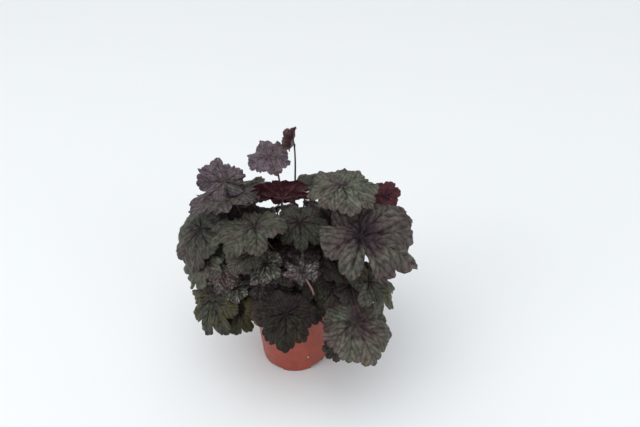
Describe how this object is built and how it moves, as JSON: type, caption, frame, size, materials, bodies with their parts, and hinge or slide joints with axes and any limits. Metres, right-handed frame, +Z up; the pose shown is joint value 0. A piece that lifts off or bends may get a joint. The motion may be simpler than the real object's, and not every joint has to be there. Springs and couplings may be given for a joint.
{
  "type": "potted coral bells plant",
  "caption": "Leafy perennial in a round tapered nursery pot: dark purple-green lobed leaves on long thin stalks from a short woody crown in peat, with drain slots in the pot's heel.",
  "frame": {"origin": "centre of the pot's flat underside, in the plane that the pot stands on", "axes": "+Z up, out of the pot's mouth; -Y towards the side of the plant that faces the camera, and +X to that camera's right"},
  "size_m": [0.2943, 0.2334, 0.3104],
  "materials": {
    "pot": "terracotta-coloured moulded plastic, satin, slightly scuffed",
    "peat": "dark moist peat with fibres and a few white perlite grains",
    "crown": "rough brown woody stem base with old leaf scars",
    "leaf_grey_green": "grey-green to bronze upper face with a satin sheen, maroon underside",
    "leaf_purple": "dusky purple-grey upper face with a satin sheen, maroon underside",
    "leaf_young": "young leaf, red-purple and glossier, maroon underside"
  },
  "bodies": {
    "root": {"pot": "pot", "soil": "peat", "crown": "crown", "leaf_front_low": "leaf_grey_green", "leaf_front_right_low": "leaf_grey_green", "leaf_front_right_under": "leaf_purple", "leaf_right_low": "leaf_grey_green", "leaf_left_low": "leaf_grey_green", "leaf_left_low_inner": "leaf_purple", "leaf_front_right_mid": "leaf_grey_green", "leaf_front_inner": "leaf_grey_green", "leaf_front_left_inner": "leaf_purple", "leaf_left_mid": "leaf_grey_green", "leaf_left_high": "leaf_grey_green", "leaf_young_left": "leaf_young", "leaf_young_left_low": "leaf_young", "leaf_young_front_left": "leaf_grey_green", "leaf_front_left_fold": "leaf_purple", "leaf_young_front": "leaf_grey_green", "leaf_front_under": "leaf_grey_green", "leaf_right_mid_small": "leaf_young", "leaf_right_mid": "leaf_grey_green", "leaf_front_left_top": "leaf_grey_green", "leaf_front_top": "leaf_purple", "leaf_right_top": "leaf_grey_green", "leaf_right_back_top": "leaf_grey_green", "leaf_right_back_edge": "leaf_purple", "leaf_right_back_red": "leaf_young", "leaf_left_top": "leaf_grey_green", "leaf_left_back_top": "leaf_purple", "leaf_back_left_top": "leaf_grey_green", "leaf_back_top_under": "leaf_grey_green", "leaf_top_young": "leaf_young", "leaf_back_top": "leaf_grey_green", "leaf_back_left_top_low": "leaf_grey_green", "leaf_back_right_top_low": "leaf_purple", "leaf_back_right_mid": "leaf_grey_green", "leaf_back_left_mid": "leaf_grey_green", "leaf_back_right_high": "leaf_purple", "leaf_back_high": "leaf_grey_green", "leaf_back_left_high": "leaf_grey_green", "leaf_left_back_mid": "leaf_purple", "leaf_right_back_mid": "leaf_grey_green", "leaf_back_right_low": "leaf_grey_green", "leaf_back_low": "leaf_purple", "leaf_back_left_low": "leaf_grey_green", "leaf_left_back_low": "leaf_grey_green", "leaf_right_side_low": "leaf_purple", "leaf_inner_left": "leaf_grey_green"}
  },
  "joints": []
}
